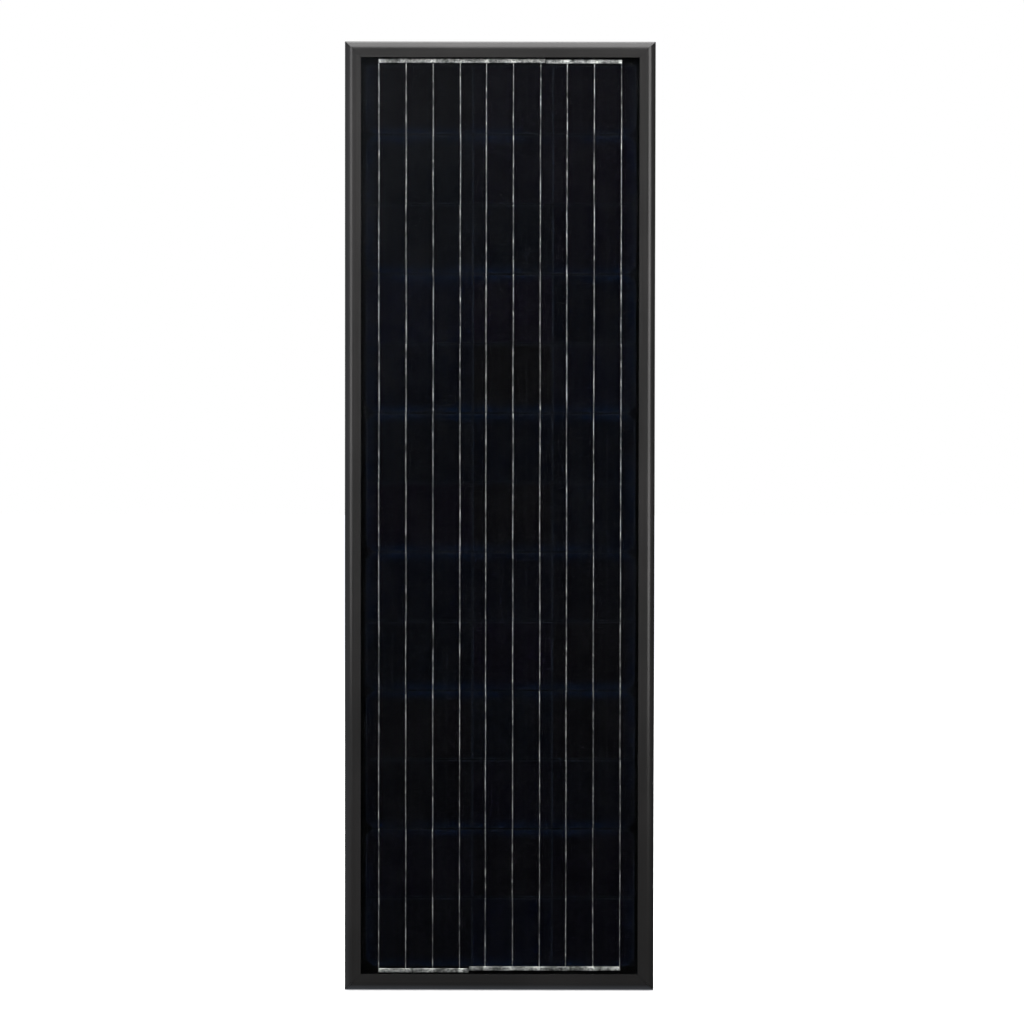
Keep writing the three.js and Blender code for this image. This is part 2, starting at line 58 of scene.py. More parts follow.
ROWS = 13
ROW_PITCH = 80.4 * MM
ROW_GAP = 2.0 * MM
CELL_HEIGHT = ROW_PITCH - ROW_GAP
CORNER_CLIP = 8.0 * MM
WIRE_PITCH = 31.35 * MM
WIRE_WIDTH = 0.8 * MM
WIRE_HEIGHT = 0.16 * MM
DIP = 1.2 * MM  # how far a wire reaches into the gap between two cells
WIRES = {"left": 4, "centre": 3, "right": 3}
FIRST_WIRE = {"left": 14.7 * MM, "centre": 14.9 * MM, "right": 16.0 * MM}  # from the string's left
CLIPPED_SIDE = {"left": -1, "centre": 0, "right": 1}
CELL_DEPTH = 0.1 * MM  # from the front of a string, where its wires lie, to the face of its cells
CELL_RIM = 0.7 * MM
FIRST_FINGER = -0.1 * MM
FINGER_PITCH = 2.2 * MM
FINGER_WIDTH = 0.16 * MM
SOLDER_REACH = 5.5 * MM  # along a bus ribbon, to each side of a wire
LABEL_MARGIN = 4 * MM
LABEL_PITCH = 6.75 * MM

CAMERA_DISTANCE = 3.0
CAMERA_ELEVATION = math.radians(1.1)
CAMERA_ROLL = math.radians(0.08)
PANEL_SHARE = 0.9275  # of the picture's height that the panel takes up
SHIFT = (0.0120, 0.0053)


# ---------------------------------------------------------------- material helpers

def new_material(name):
    material = bpy.data.materials.new(name)
    material.use_nodes = True
    tree = material.node_tree
    return material, tree, tree.nodes["Principled BSDF"]


def plug(tree, value, socket):
    """Link a socket to an input, or set the input to a plain value."""
    if isinstance(value, bpy.types.NodeSocket):
        tree.links.new(value, socket)
    else:
        socket.default_value = value


def math_node(tree, operation, first, second=0.0, clamp=False):
    node = tree.nodes.new("ShaderNodeMath")
    node.operation = operation
    node.use_clamp = clamp
    plug(tree, first, node.inputs[0])
    plug(tree, second, node.inputs[1])
    return node.outputs[0]


def position(tree):
    """The point's place in the row frame at rest, as X, Y and Z sockets."""
    place = tree.nodes.new("ShaderNodeTexCoord")
    split = tree.nodes.new("ShaderNodeSeparateXYZ")
    tree.links.new(place.outputs["Object"], split.inputs[0])
    return place.outputs["Object"], split.outputs


def vector(tree, x, y, z):
    node = tree.nodes.new("ShaderNodeCombineXYZ")
    for value, socket in zip((x, y, z), node.inputs):
        plug(tree, value, socket)
    return node.outputs[0]


def stretched(tree, scale):
    """Row-frame coordinates scaled on each axis, for grain that runs one way."""
    place, _ = position(tree)
    node = tree.nodes.new("ShaderNodeMapping")
    node.inputs["Scale"].default_value = scale
    tree.links.new(place, node.inputs["Vector"])
    return node.outputs[0]


def noise_node(tree, scale, detail=3.0, where=None, roughness=0.5):
    node = tree.nodes.new("ShaderNodeTexNoise")
    tree.links.new(where or position(tree)[0], node.inputs["Vector"])
    node.inputs["Scale"].default_value = scale
    node.inputs["Detail"].default_value = detail
    node.inputs["Roughness"].default_value = roughness
    return node.outputs["Fac"]


def spread(tree, value, low, high, to_low=0.0, to_high=1.0):
    """Map a value from low..high to to_low..to_high, smoothly and clamped."""
    node = tree.nodes.new("ShaderNodeMapRange")
    node.interpolation_type = "SMOOTHSTEP"
    plug(tree, value, node.inputs["Value"])
    for name, number in zip(("From Min", "From Max", "To Min", "To Max"), (low, high, to_low, to_high)):
        node.inputs[name].default_value = number
    return node.outputs["Result"]


def mix_color(tree, factor, first, second):
    node = tree.nodes.new("ShaderNodeMix")
    node.data_type = "RGBA"
    plug(tree, factor, node.inputs["Factor"])
    plug(tree, first if isinstance(first, bpy.types.NodeSocket) else (*first, 1.0), node.inputs["A"])
    plug(tree, second if isinstance(second, bpy.types.NodeSocket) else (*second, 1.0), node.inputs["B"])
    return node.outputs["Result"]


def ramp(tree, value, stops):
    node = tree.nodes.new("ShaderNodeValToRGB")
    plug(tree, value, node.inputs["Fac"])
    elements = node.color_ramp.elements
    while len(elements) < len(stops):
        elements.new(0.5)
    for element, (place, color) in zip(elements, stops):
        element.position = place
        element.color = (*color, 1.0)
    return node.outputs["Color"]


def bump(tree, height, distance, strength=1.0):
    node = tree.nodes.new("ShaderNodeBump")
    node.inputs["Strength"].default_value = strength
    node.inputs["Distance"].default_value = distance
    tree.links.new(height, node.inputs["Height"])
    return node.outputs["Normal"]


def off_whole(tree, value):
    """How far a value is from the nearest whole number."""
    nearest = math_node(tree, "ROUND", value)
    return math_node(tree, "ABSOLUTE", math_node(tree, "SUBTRACT", value, nearest))


def ruled(tree, value, first, pitch, width):
    """1 on thin lines repeated at a pitch, and 0 between them."""
    turns = math_node(tree, "DIVIDE", math_node(tree, "SUBTRACT", value, first), pitch)
    return math_node(tree, "LESS_THAN", off_whole(tree, turns), width / pitch / 2)


def between(tree, value, low, high):
    """1 between two limits and 0 outside them."""
    above = math_node(tree, "GREATER_THAN", value, low)
    return math_node(tree, "MULTIPLY", above, math_node(tree, "LESS_THAN", value, high))


# ---------------------------------------------------------------- materials

def black_anodised(along):
    """Satin black extrusion with faint die lines along it. along is the rail's axis, "X" or "Z"."""
    material, tree, shader = new_material(f"black_anodised_{along}")
    scale = (6, 900, 900) if along == "X" else (900, 900, 6)
    lines = noise_node(tree, 1.0, 2.0, stretched(tree, scale))
    cloud = noise_node(tree, 9.0, 4.0)
    speckle = noise_node(tree, 2600.0, 2.0)
    color = mix_color(tree, spread(tree, cloud, 0.35, 0.7), (0.030, 0.029, 0.028), (0.037, 0.035, 0.034))
    plug(tree, color, shader.inputs["Base Color"])
    shader.inputs["Metallic"].default_value = 0.35
    plug(tree, spread(tree, lines, 0.3, 0.7, 0.20, 0.26), shader.inputs["Roughness"])
    drawn = math_node(tree, "MULTIPLY", lines, 0.6)
    height = math_node(tree, "ADD", drawn, math_node(tree, "MULTIPLY", speckle, 0.4))
    plug(tree, bump(tree, height, 0.00003, 0.5), shader.inputs["Normal"])
    return material


def bare_aluminium():
    material, tree, shader = new_material("bare_aluminium")
    grain = noise_node(tree, 1.0, 3.0, stretched(tree, (60, 60, 900)))
    color = mix_color(tree, spread(tree, grain, 0.3, 0.7), (0.5, 0.51, 0.52), (0.66, 0.67, 0.68))
    plug(tree, color, shader.inputs["Base Color"])
    shader.inputs["Metallic"].default_value = 1.0
    plug(tree, spread(tree, grain, 0.3, 0.7, 0.32, 0.5), shader.inputs["Roughness"])
    plug(tree, bump(tree, grain, 0.00004, 0.6), shader.inputs["Normal"])
    return material


def lets_lamps_through(tree, shader):
    """Rays from lamps pass straight through, so that what lies behind clear glass is lit."""
    path = tree.nodes.new("ShaderNodeLightPath")
    clear = tree.nodes.new("ShaderNodeBsdfTransparent")
    mix = tree.nodes.new("ShaderNodeMixShader")
    tree.links.new(path.outputs["Is Shadow Ray"], mix.inputs["Fac"])
    tree.links.new(shader.outputs["BSDF"], mix.inputs[1])
    tree.links.new(clear.outputs["BSDF"], mix.inputs[2])
    tree.links.new(mix.outputs["Shader"], tree.nodes["Material Output"].inputs["Surface"])


def tempered_glass():
    """Clear low-iron glass with the faint roll wave that tempering leaves."""
    material, tree, shader = new_material("tempered_glass")
    shader.inputs["Base Color"].default_value = (0.97, 0.985, 0.98, 1.0)
    shader.inputs["Transmission Weight"].default_value = 1.0
    shader.inputs["IOR"].default_value = 1.5
    dust = noise_node(tree, 14.0, 5.0)
    plug(tree, spread(tree, dust, 0.4, 0.8, 0.04, 0.07), shader.inputs["Roughness"])
    wave = noise_node(tree, 1.0, 1.0, stretched(tree, (5, 5, 26)))
    plug(tree, bump(tree, wave, 0.00002, 0.3), shader.inputs["Normal"])
    lets_lamps_through(tree, shader)
    return material


def clear_film():
    """The bonded films, which are all but invisible: a trace of milkiness over full clearness."""
    material, tree, shader = new_material("clear_film")
    shader.inputs["Base Color"].default_value = (0.8, 0.82, 0.85, 1.0)
    shader.inputs["Roughness"].default_value = 0.5
    shader.inputs["Specular IOR Level"].default_value = 0.0
    haze = noise_node(tree, 40.0, 3.0)
    plug(tree, spread(tree, haze, 0.3, 0.8, 0.0, 0.0006), shader.inputs["Alpha"])
    return material


def black_silicone():
    material, tree, shader = new_material("black_silicone")
    smear = noise_node(tree, 220.0, 3.0)
    color = mix_color(tree, smear, (0.006, 0.006, 0.006), (0.014, 0.014, 0.014))
    plug(tree, color, shader.inputs["Base Color"])
    plug(tree, spread(tree, smear, 0.3, 0.7, 0.45, 0.65), shader.inputs["Roughness"])
    plug(tree, bump(tree, smear, 0.0001, 0.5), shader.inputs["Normal"])
    return material


def backsheet(middle):
    """Black laminated sheet, with the fine pebble of its lamination press. Its weatherproof outer
    face, behind the given middle, is greyer than the face against the cells."""
    material, tree, shader = new_material("backsheet")
    _, (_, y, _) = position(tree)
    outer = math_node(tree, "GREATER_THAN", y, middle)
    pebble = noise_node(tree, 900.0, 2.0)
    cloud = noise_node(tree, 7.0, 4.0)
    inner_color = mix_color(tree, cloud, (0.0003, 0.0003, 0.0004), (0.0006, 0.0006, 0.0007))
    outer_color = mix_color(tree, cloud, (0.006, 0.006, 0.0063), (0.010, 0.010, 0.0105))
    plug(tree, mix_color(tree, outer, inner_color, outer_color), shader.inputs["Base Color"])
    plug(tree, spread(tree, outer, 0.4, 0.6, 0.03, 0.3), shader.inputs["Specular IOR Level"])
    plug(tree, spread(tree, cloud, 0.3, 0.7, 0.35, 0.5), shader.inputs["Roughness"])
    plug(tree, bump(tree, pebble, 0.00006, 0.5), shader.inputs["Normal"])
    return material


def solar_cell(string, low, high):
    """Blue-black silicon under its printed silver grid. Each cell has its own cast, and the wafers'
    own edges are bluer than the edges where they were cut."""
    material, tree, shader = new_material(f"solar_cell_{string}")
    _, (x, _, z) = position(tree)
    field_top = ROWS * ROW_PITCH / 2
    rows_down = math_node(tree, "DIVIDE", math_node(tree, "SUBTRACT", field_top, z), ROW_PITCH)
    row = math_node(tree, "FLOOR", rows_down)
    cast = tree.nodes.new("ShaderNodeTexWhiteNoise")
    tree.links.new(vector(tree, row, float(len(string)), 3.7), cast.inputs["Vector"])
    tones = [
        (0.0, (0.0001, 0.0003, 0.0014)),
        (0.3, (0.0003, 0.0005, 0.0011)),
        (0.55, (0.0006, 0.0003, 0.0016)),
        (0.8, (0.0006, 0.0005, 0.0006)),
        (1.0, (0.0001, 0.0003, 0.0021)),
    ]
    silicon = ramp(tree, cast.outputs["Value"], tones)
    mottle = noise_node(tree, 55.0, 4.0)
    silicon = mix_color(tree, spread(tree, mottle, 0.35, 0.75, 0.0, 0.5), silicon, (0.0007, 0.0006, 0.0009))

    # Distance from the nearest wafer edge: every other row boundary, and the clipped side
    pairs = math_node(tree, "DIVIDE", math_node(tree, "ADD", rows_down, 1.0), 2.0)
    off_boundary = math_node(tree, "MULTIPLY", off_whole(tree, pairs), 2 * ROW_PITCH)
    blue = spread(tree, off_boundary, 0.001, 0.013, 1.0, 0.0)
    if CLIPPED_SIDE[string]:
        edge = low.x if CLIPPED_SIDE[string] < 0 else high.x
        inwards = math_node(tree, "ABSOLUTE", math_node(tree, "SUBTRACT", x, edge))
        blue = math_node(tree, "MAXIMUM", blue, spread(tree, inwards, 0.001, 0.014, 0.5, 0.0))
    patch = noise_node(tree, 16.0, 3.0)
    blue = math_node(tree, "MULTIPLY", blue, spread(tree, patch, 0.3, 0.6))
    silicon = mix_color(tree, blue, silicon, (0.0004, 0.0020, 0.0070))

    grid = silver_grid(tree, x, z, low.x + FIRST_WIRE[string])
    color = mix_color(tree, grid, silicon, (0.013, 0.014, 0.017))
    plug(tree, color, shader.inputs["Base Color"])
    shader.inputs["Specular IOR Level"].default_value = 0.02
    plug(tree, spread(tree, mottle, 0.3, 0.7, 0.16, 0.22), shader.inputs["Roughness"])
    plug(tree, bump(tree, mottle, 0.00001, 0.4), shader.inputs["Normal"])
    return material


def cell_rim():
    """The bare strip around a cell, between the printed grid and the edge: paler and bluer."""
    material, tree, shader = new_material("cell_rim")
    mottle = noise_node(tree, 70.0, 4.0)
    paler = spread(tree, mottle, 0.35, 0.7)
    color = mix_color(tree, paler, (0.0024, 0.0036, 0.0068), (0.0046, 0.0072, 0.0135))
    plug(tree, color, shader.inputs["Base Color"])
    shader.inputs["Specular IOR Level"].default_value = 0.08
    plug(tree, spread(tree, mottle, 0.3, 0.7, 0.3, 0.4), shader.inputs["Roughness"])
    plug(tree, bump(tree, mottle, 0.00003, 0.5), shader.inputs["Normal"])
    return material


def silver_grid(tree, x, z, first_wire):
    """How much printed silver covers a point: fine fingers across the cell, and between each two
    wires a thin line down the middle."""
    finger = ruled(tree, z, FIRST_FINGER, FINGER_PITCH, FINGER_WIDTH)
    line = ruled(tree, x, first_wire + WIRE_PITCH / 2, WIRE_PITCH, 0.3 * MM)
    return math_node(tree, "MAXIMUM", finger, math_node(tree, "MULTIPLY", line, 0.6))


def tinned_copper():
    """Dull tin, streaked along the wire, and brighter where the "solder" attribute marks solder."""
    material, tree, shader = new_material("tinned_copper")
    solder = tree.nodes.new("ShaderNodeAttribute")
    solder.attribute_name = "solder"
    streak = noise_node(tree, 1.0, 4.0, stretched(tree, (140, 300, 90)))
    blotch = noise_node(tree, 380.0, 3.0)
    tint = math_node(tree, "MULTIPLY", streak, blotch)
    tin = mix_color(tree, spread(tree, tint, 0.14, 0.38), (0.09, 0.09, 0.088), (0.46, 0.46, 0.45))
    bright = mix_color(tree, spread(tree, tint, 0.14, 0.34), (0.22, 0.22, 0.215), (0.9, 0.9, 0.86))
    color = mix_color(tree, solder.outputs["Fac"], tin, bright)
    plug(tree, color, shader.inputs["Base Color"])
    shader.inputs["Metallic"].default_value = 1.0
    plug(tree, spread(tree, blotch, 0.3, 0.7, 0.28, 0.5), shader.inputs["Roughness"])
    plug(tree, bump(tree, tint, 0.0002, 0.7), shader.inputs["Normal"])
    return material


def insulated_lead(inside_box):
    """Ribbon sleeved in black film, bare where it comes up into the junction box."""
    material, tree, shader = new_material("insulated_lead")
    _, (_, y, _) = position(tree)
    bare = math_node(tree, "GREATER_THAN", y, inside_box)
    streak = noise_node(tree, 1.0, 4.0, stretched(tree, (900, 300, 160)))
    tin = mix_color(tree, streak, (0.42, 0.42, 0.42), (0.75, 0.76, 0.77))
    plug(tree, mix_color(tree, bare, (0.0005, 0.0005, 0.0006), tin), shader.inputs["Base Color"])
    plug(tree, math_node(tree, "MULTIPLY", bare, 0.9), shader.inputs["Metallic"])
    plug(tree, spread(tree, bare, 0.4, 0.6, 0.03, 0.5), shader.inputs["Specular IOR Level"])
    plug(tree, spread(tree, streak, 0.3, 0.7, 0.35, 0.5), shader.inputs["Roughness"])
    plug(tree, bump(tree, streak, 0.0001, 0.6), shader.inputs["Normal"])
    return material


def moulded_plastic():
    material, tree, shader = new_material("box_plastic")
    sparks = noise_node(tree, 1800.0, 2.0)
    cloud = noise_node(tree, 30.0, 4.0)
    color = mix_color(tree, cloud, (0.012, 0.012, 0.0125), (0.019, 0.019, 0.0195))
    plug(tree, color, shader.inputs["Base Color"])
    plug(tree, spread(tree, cloud, 0.3, 0.7, 0.45, 0.6), shader.inputs["Roughness"])
    plug(tree, bump(tree, sparks, 0.00008, 0.6), shader.inputs["Normal"])
    return material


def plated_brass():
    """Terminal strips: tin plating over brass, rolled smooth, with faint handling marks."""
    material, tree, shader = new_material("plated_brass")
    marks = noise_node(tree, 1.0, 3.0, stretched(tree, (1400, 300, 90)))
    dulled = noise_node(tree, 130.0, 4.0)
    color = mix_color(tree, spread(tree, dulled, 0.3, 0.7), (0.5, 0.49, 0.46), (0.62, 0.61, 0.58))
    plug(tree, color, shader.inputs["Base Color"])
    shader.inputs["Metallic"].default_value = 1.0
    plug(tree, spread(tree, marks, 0.3, 0.7, 0.28, 0.42), shader.inputs["Roughness"])
    plug(tree, bump(tree, marks, 0.00002, 0.5), shader.inputs["Normal"])
    return material


def zinc_steel():
    material, tree, shader = new_material("zinc_steel")
    cloud = noise_node(tree, 300.0, 4.0)
    color = mix_color(tree, cloud, (0.42, 0.43, 0.45), (0.62, 0.62, 0.62))
    plug(tree, color, shader.inputs["Base Color"])
    shader.inputs["Metallic"].default_value = 1.0
    plug(tree, spread(tree, cloud, 0.3, 0.7, 0.25, 0.45), shader.inputs["Roughness"])
    return material


def epoxy():
    material, tree, shader = new_material("epoxy")
    grain = noise_node(tree, 1500.0, 2.0)
    color = mix_color(tree, grain, (0.008, 0.008, 0.009), (0.016, 0.016, 0.017))
    plug(tree, color, shader.inputs["Base Color"])
    shader.inputs["Roughness"].default_value = 0.4
    plug(tree, bump(tree, grain, 0.00005, 0.5), shader.inputs["Normal"])
    return material


def label_film(low, high):
    """Silver film printed with an empty ruled table: rows in two columns, and no writing."""
    material, tree, shader = new_material("label_film")
    _, (x, _, z) = position(tree)
    left, right = low.x + LABEL_MARGIN, high.x - LABEL_MARGIN
    bottom, top = low.z + LABEL_MARGIN, high.z - LABEL_MARGIN
    line_width = 0.4 * MM
    rows = ruled(tree, z, bottom, LABEL_PITCH, line_width)
    sides = ruled(tree, x, left, right - left, 0.5 * MM)
    upright = ruled(tree, x, low.x * 0.1, high.x - low.x, line_width)
    table = math_node(tree, "MAXIMUM", rows, math_node(tree, "MAXIMUM", upright, sides))
    within_x = between(tree, x, left - line_width, right + line_width)
    within_z = between(tree, z, bottom - line_width, top + line_width)
    inside = math_node(tree, "MULTIPLY", within_x, within_z)
    ink = math_node(tree, "MULTIPLY", table, inside)
    cloud = noise_node(tree, 25.0, 4.0)
    grain = noise_node(tree, 1.0, 2.0, stretched(tree, (30, 900, 1200)))
    silver = mix_color(tree, cloud, (0.24, 0.245, 0.25), (0.3, 0.305, 0.31))
    plug(tree, mix_color(tree, ink, silver, (0.02, 0.02, 0.02)), shader.inputs["Base Color"])
    shader.inputs["Metallic"].default_value = 0.5
    plug(tree, spread(tree, grain, 0.3, 0.7, 0.35, 0.5), shader.inputs["Roughness"])
    plug(tree, bump(tree, grain, 0.00002, 0.5), shader.inputs["Normal"])
    return material


# ---------------------------------------------------------------- mesh helpers

def add_piece(name, mesh_builder, material, replaced=()):
    """Turn a bmesh into a piece that rides on the panel."""
    mesh = bpy.data.meshes.new(name)
    mesh_builder.to_mesh(mesh)
    mesh_builder.free()
    piece = bpy.data.objects.new(name, mesh)
    bpy.context.scene.collection.objects.link(piece)
    mesh.materials.append(material)
    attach(piece, "panel")
    if replaced:
        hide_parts(*replaced)
    return piece


def finish_node(node, material, edge=0.0):
    """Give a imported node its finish, smooth its curves and ease its sharp edges."""
    node.data.materials.clear()
    node.data.materials.append(material)
    node.data.shade_smooth()
    if edge:
        eased = node.modifiers.new("eased_edges", "BEVEL")
        eased.width = edge
        eased.segments = 2
        eased.limit_method = "ANGLE"
        eased.angle_limit = math.radians(35)
        eased.harden_normals = False
    split = node.modifiers.new("crisp_edges", "EDGE_SPLIT")
    split.split_angle = math.radians(35)


# ---------------------------------------------------------------- cells

def row_middle(row):
    return ((ROWS - 1) / 2 - row) * ROW_PITCH


def cell_outline(left, right, bottom, top, clipped):
    """The corners in order round a cell. The one named in clipped, if any, is cut to two points."""
    corners = {
        "bottom_left": Vector((left, bottom)),
        "bottom_right": Vector((right, bottom)),
        "top_right": Vector((right, top)),
        "top_left": Vector((left, top)),
    }
    places = list(corners.values())
    points = []
    for i, (name, corner) in enumerate(corners.items()):
        if name != clipped:
            points.append(corner)
            continue
        for neighbour in (places[i - 1], places[(i + 1) % 4]):
            points.append(corner + (neighbour - corner).normalized() * CORNER_CLIP)
    return points


def clipped_corner(string, row):
    """Each cell is half a wafer, so the clipped corner is at the bottom and at the top by turns."""
    side = {-1: "left", 0: None, 1: "right"}[CLIPPED_SIDE[string]]
    end = "top" if row % 2 == 1 else "bottom"
    return f"{end}_{side}" if side else None


def inset(outline, distance):
    """A convex outline, given anticlockwise, moved inwards by a distance all round."""
    moved = []
    for i, corner in enumerate(outline):
        before = (corner - outline[i - 1]).normalized()
        after = (outline[(i + 1) % len(outline)] - corner).normalized()
        side = Vector((-before.y, before.x))
        inwards = (side + Vector((-after.y, after.x))).normalized()
        moved.append(corner + inwards * distance / inwards.dot(side))
    return moved


def wafer(mesh, outline, front, back):
    """A thin wafer: the printed face, a rim around it that falls away a little, edges and back."""
    face = [mesh.verts.new((p.x, front, p.y)) for p in inset(outline, CELL_RIM)]
    near = [mesh.verts.new((p.x, front + 0.03 * MM, p.y)) for p in outline]
    far = [mesh.verts.new((p.x, back, p.y)) for p in outline]
    count = len(outline)
    mesh.faces.new(face)
    mesh.faces.new(list(reversed(far)))
    for i in range(count):
        j = (i + 1) % count
        for ring, outer in ((face, near), (near, far)):
            side = mesh.faces.new((ring[j], ring[i], outer[i], outer[j]))
            side.material_index = 1


def cell_string(string, node, rim):
    """One column of cells, from the top down, in the place of the string's plain solid."""
    low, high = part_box(node)
    mesh = bmesh.new()
    for row in range(ROWS):
        bottom = row_middle(row) - CELL_HEIGHT / 2
        top = row_middle(row) + CELL_HEIGHT / 2
        outline = cell_outline(low.x, high.x, bottom, top, clipped_corner(string, row))
        wafer(mesh, outline, low.y + CELL_DEPTH, high.y)
    piece = add_piece(f"cells_{string}", mesh, solar_cell(string, low, high), [node])
    piece.data.materials.append(rim)
    return piece


def wire_path(x, top, bottom, front, back, seed):
    """Points down one cell's wire: out of the gap above, then along the cell's face to the gap below."""
    drift = random.Random(seed).uniform(-0.22, 0.22) * MM
    lean = random.Random(seed + 1).uniform(-0.25, 0.25) * MM
    points = [Vector((x + drift, back, top + DIP))]
    steps = 26
    for i in range(steps + 1):
        share = i / steps
        z = top - 0.6 * MM - share * (top - bottom - 0.8 * MM)
        wobble = noise.noise(Vector((x * 900, seed * 3.1, z * 90))) * 0.12 * MM
        lift = abs(noise.noise(Vector((z * 160, seed * 1.7, x * 500)))) * 0.05 * MM
        points.append(Vector((x + drift + lean * (share - 0.5) + wobble, front - lift, z)))
    return points


def clamped(value):
    return min(1.0, max(0.0, value))


def ribbon_along(mesh, solder, points, seed):
    """A flat wire with a crowned front, turned a little about its own line as it runs."""
    section = [(-0.5, 0.0), (-0.36, -0.75), (0.0, -1.0), (0.36, -0.75), (0.5, 0.0)]
    rings = []
    for i, point in enumerate(points):
        tilt = noise.noise(Vector((seed * 5.3, i * 0.33, 1.9))) * 0.28
        patch = noise.noise(Vector((point.x * 70, seed, point.z * 120)))
        ring = []
        for across, up in section:
            x = across * WIRE_WIDTH
            y = up * WIRE_HEIGHT + math.sin(tilt) * x
            vertex = mesh.verts.new((point.x + x, point.y + y, point.z))
            vertex[solder] = clamped(0.35 + 1.5 * patch)
            ring.append(vertex)
        rings.append(ring)
    for upper, lower in zip(rings, rings[1:]):
        for k in range(len(section) - 1):
            mesh.faces.new((upper[k], lower[k], lower[k + 1], upper[k + 1]))
        mesh.faces.new((upper[-1], lower[-1], lower[0], upper[0]))
    mesh.faces.new(rings[0])
    mesh.faces.new(list(reversed(rings[-1])))


def wire_places(string):
    """The x of each of a string's wires."""
    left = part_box(f"cell_string_{string}")[0].x
    return [left + FIRST_WIRE[string] + i * WIRE_PITCH for i in range(WIRES[string])]


def wires(string, node, metal):
    """Every cell's wires, each reaching down into the gap below its cell, or to the bus ribbons."""
    low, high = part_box(node)
    mesh = bmesh.new()
    solder = mesh.verts.layers.float.new("solder")
    for row in range(ROWS):
        top = row_middle(row) + CELL_HEIGHT / 2
        bottom = row_middle(row) - CELL_HEIGHT / 2 - DIP
        if row == 0:
            top = high.z
        if row == ROWS - 1:
            bottom = low.z
        for i, x in enumerate(wire_places(string)):
            seed = row * 31 + i * 7 + len(string)
            points = wire_path(x, top, bottom, low.y + CELL_DEPTH, high.y, seed)
            ribbon_along(mesh, solder, points, seed)
    bmesh.ops.recalc_face_normals(mesh, faces=mesh.faces)
    piece = add_piece(f"tabbing_wires_{string}", mesh, metal)
    piece.data.shade_smooth()
    return piece


# ---------------------------------------------------------------- bus ribbons

def bus_ribbon(node, metal):
    """A flat ribbon, rippled by soldering, with a pool of solder where each wire meets it."""
    low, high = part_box(node)
    mesh = bmesh.new()
    solder = mesh.verts.layers.float.new("solder")
    joints = [x for string in WIRES for x in wire_places(string)]
    seed = 4.0 if low.z > 0 else 6.0
    columns = max(8, round((high.x - low.x) / (0.8 * MM)))
    rows = 8
    grid = []
    for i in range(columns + 1):
        x = low.x + (high.x - low.x) * i / columns
        nearest = min(abs(x - joint) for joint in joints)
        soldered = math.exp(-((nearest / SOLDER_REACH) ** 2))
        pool = math.exp(-((nearest / (1.9 * MM)) ** 2)) * 0.10 * MM
        line = []
        for k in range(rows + 1):
            z = low.z + (high.z - low.z) * k / rows
            off_middle = abs(2 * k / rows - 1)
            ripple = noise.noise(Vector((x * 210, seed, z * 260))) * 0.06 * MM
            y = low.y + off_middle ** 6 * 0.08 * MM + ripple - pool * (1 - off_middle ** 4)
            patch = noise.noise(Vector((x * 95, 4.2, z * 60)))
            vertex = mesh.verts.new((x, y, z))
            vertex[solder] = clamped(soldered + 0.9 * patch - 0.15)
            line.append(vertex)
        grid.append(line)
    for left, right in zip(grid, grid[1:]):
        for k in range(rows):
            mesh.faces.new((left[k], right[k], right[k + 1], left[k + 1]))
    bmesh.ops.recalc_face_normals(mesh, faces=mesh.faces)
    piece = add_piece(node + "_soldered", mesh, metal, [node])
    thick = piece.modifiers.new("thickness", "SOLIDIFY")
    thick.thickness = 0.2 * MM
    thick.offset = -1.0
    piece.data.shade_smooth()
    return piece


# ---------------------------------------------------------------- scene

def add_floor(low):
    mesh = bmesh.new()
    bmesh.ops.create_grid(mesh, x_segments=1, y_segments=1, size=30.0)
    data = bpy.data.meshes.new("floor")
    mesh.to_mesh(data)
    mesh.free()
    floor = bpy.data.objects.new("floor", data)
    floor.location.z = low.z - 1 * MM
    bpy.context.scene.collection.objects.link(floor)
    material, tree, shader = new_material("floor")
    shader.inputs["Base Color"].default_value = (0.85, 0.85, 0.85, 1.0)
    shader.inputs["Roughness"].default_value = 0.9
    shader.inputs["Specular IOR Level"].default_value = 0.0
    shader.inputs["Emission Color"].default_value = (1.0, 1.0, 1.0, 1.0)
    length = tree.nodes.new("ShaderNodeVectorMath")
    length.operation = "LENGTH"
    tree.links.new(position(tree)[0], length.inputs[0])
    away = spread(tree, length.outputs["Value"], 0.8, 3.0, 0.5, 1.0)
    plug(tree, away, shader.inputs["Emission Strength"])
    data.materials.append(material)
    floor.visible_glossy = False
    floor.visible_diffuse = False
    floor.visible_transmission = False
    floor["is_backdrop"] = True


def add_lamp(name, place, target, size, power):
    light = bpy.data.lights.new(name, "AREA")
    light.shape = "RECTANGLE"
    light.size, light.size_y = size
    light.energy = power
    lamp = bpy.data.objects.new(name, light)
    lamp.location = place
    lamp.rotation_euler = (Vector(target) - Vector(place)).to_track_quat("-Z", "Y").to_euler()
    lamp.visible_camera = False
    bpy.context.scene.collection.objects.link(lamp)


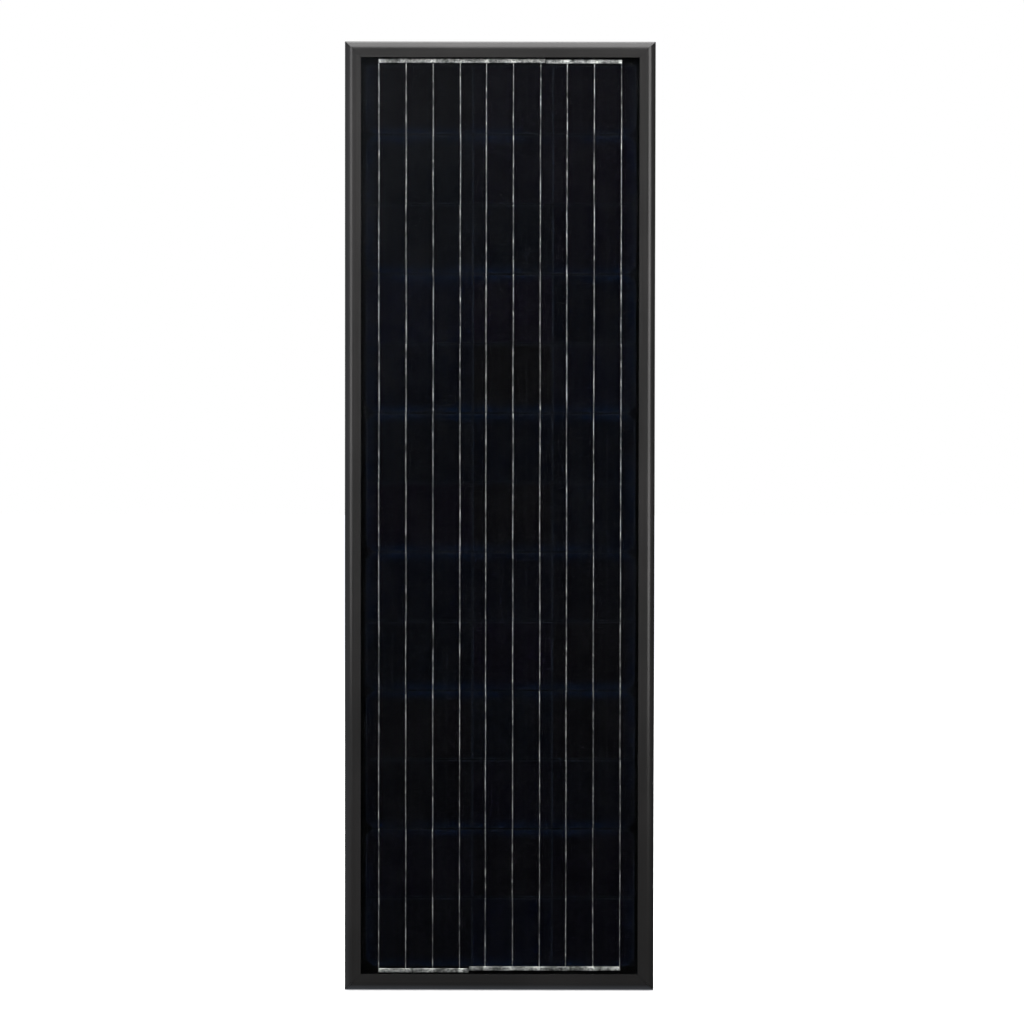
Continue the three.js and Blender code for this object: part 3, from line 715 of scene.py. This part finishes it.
def add_world():
    """White to the camera; to everything else, a soft sky that darkens below eye level."""
    world = bpy.data.worlds.new("studio")
    bpy.context.scene.world = world
    world.use_nodes = True
    tree = world.node_tree
    background = tree.nodes["Background"]
    coordinates = tree.nodes.new("ShaderNodeTexCoord")
    split = tree.nodes.new("ShaderNodeSeparateXYZ")
    tree.links.new(coordinates.outputs["Generated"], split.inputs[0])
    up_and_left = math_node(tree, "SUBTRACT", split.outputs["Z"], split.outputs["X"])
    sky = spread(tree, up_and_left, 0.02, 0.7, 0.004, 0.36)
    sky = math_node(tree, "MULTIPLY", sky, spread(tree, split.outputs["Y"], 0.1, 0.8, 1.0, 0.2))
    ground = spread(tree, split.outputs["Z"], -0.95, -0.4, 0.7, 0.0)
    path = tree.nodes.new("ShaderNodeLightPath")
    glow = math_node(tree, "ADD", sky, ground)
    cool = mix_color(tree, glow, (0.0, 0.0, 0.0), (0.88, 0.97, 1.12))
    shown = mix_color(tree, path.outputs["Is Camera Ray"], cool, (1.0, 1.0, 1.0))
    tree.links.new(shown, background.inputs["Color"])


def add_camera(low, high):
    target = Vector(((low.x + high.x) / 2, low.y, (low.z + high.z) / 2))
    data = bpy.data.cameras.new("camera")
    data.lens = data.sensor_width * CAMERA_DISTANCE * PANEL_SHARE / (high.z - low.z)
    data.shift_x, data.shift_y = SHIFT
    camera = bpy.data.objects.new("camera", data)
    away = Vector((0, -math.cos(CAMERA_ELEVATION), math.sin(CAMERA_ELEVATION)))
    camera.location = target + away * CAMERA_DISTANCE
    camera.rotation_mode = "ZYX"
    camera.rotation_euler = (math.pi / 2 - CAMERA_ELEVATION, 0, CAMERA_ROLL)
    bpy.context.scene.collection.objects.link(camera)
    bpy.context.scene.camera = camera


# ---------------------------------------------------------------- assembly

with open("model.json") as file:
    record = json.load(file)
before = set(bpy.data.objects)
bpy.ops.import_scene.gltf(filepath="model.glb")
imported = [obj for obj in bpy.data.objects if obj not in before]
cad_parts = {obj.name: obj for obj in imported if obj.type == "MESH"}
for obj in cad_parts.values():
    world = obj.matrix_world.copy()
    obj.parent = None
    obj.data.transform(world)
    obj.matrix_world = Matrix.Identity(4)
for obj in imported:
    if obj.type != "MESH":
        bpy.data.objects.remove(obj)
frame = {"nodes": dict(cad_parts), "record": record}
cad_low, cad_high = (Vector(corner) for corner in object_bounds())
bpy.context.scene.view_settings.view_transform = "Standard"

metal = tinned_copper()
silicone = black_silicone()
rim = cell_rim()
plastic = moulded_plastic()
film = clear_film()
rail_upright = black_anodised("Z")
rail_level = black_anodised("X")
finishes = {
    "frame_rail_left": rail_upright,
    "frame_rail_right": rail_upright,
    "frame_rail_top": rail_level,
    "frame_rail_bottom": rail_level,
    "front_glass": tempered_glass(),
    "backsheet": backsheet(sum(corner.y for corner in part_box("backsheet")) / 2),
    "rating_label": label_film(*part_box("rating_label")),
}
by_slot = {
    "bare_aluminium": bare_aluminium(),
    "sealant": silicone,
    "encapsulant": film,
    "tinned_copper": metal,
    "box_plastic": plastic,
    "steel": zinc_steel(),
    "epoxy": epoxy(),
}
slots = {part["node"]: part["material_slot"] for part in frame["record"]["subparts"]}
eased = {"black_anodised": 0.25 * MM, "box_plastic": 0.3 * MM, "steel": 0.15 * MM, "epoxy": 0.2 * MM}
for name, node in frame["nodes"].items():
    material = finishes.get(name) or by_slot.get(slots[name])
    if material:
        finish_node(node, material, eased.get(slots[name], 0.0))
lead = insulated_lead(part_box("backsheet")[1].y)
plated = plated_brass()
for side in ("left", "middle", "right"):
    finish_node(frame["nodes"][f"lead_ribbon_{side}"], lead)
    finish_node(frame["nodes"][f"terminal_{side}"], plated, 0.15 * MM)

for string in WIRES:
    cad_node = f"cell_string_{string}"
    cell_string(string, cad_node, rim)
    wires(string, cad_node, metal)
for corner in ("top_left", "top_right", "bottom_left", "bottom_right"):
    bus_ribbon(f"bus_ribbon_{corner}", metal)

add_floor(cad_low)
add_world()
add_lamp("upper_front", (0, -1.5, 2.0), (0, 0, 0.3), (2.6, 1.6), 65)
add_lamp("overhead", (0, 0.1, 2.4), (0, 0.1, 0), (2.6, 1.6), 80)
add_lamp("left_side", (-0.95, -2.6, 0.6), (0, 0, 0.3), (0.6, 1.8), 12)
add_lamp("right_side", (1.15, -2.6, 0.54), (0, 0, 0.25), (0.7, 1.92), 21)
add_lamp("behind_left", (-1.5, 1.9, 2.05), (0, 0, 0.2), (1.4, 0.7), 60)
add_lamp("behind_right", (1.5, 1.9, 2.05), (0, 0, 0.2), (1.4, 0.7), 60)
add_lamp("low_left", (-1.5, 1.9, 0.3), (0, 0, 0.15), (1.4, 0.4), 1.5)
add_lamp("low_right", (1.5, 1.9, 0.3), (0, 0, 0.15), (1.4, 0.4), 1.5)
add_camera(cad_low, cad_high)
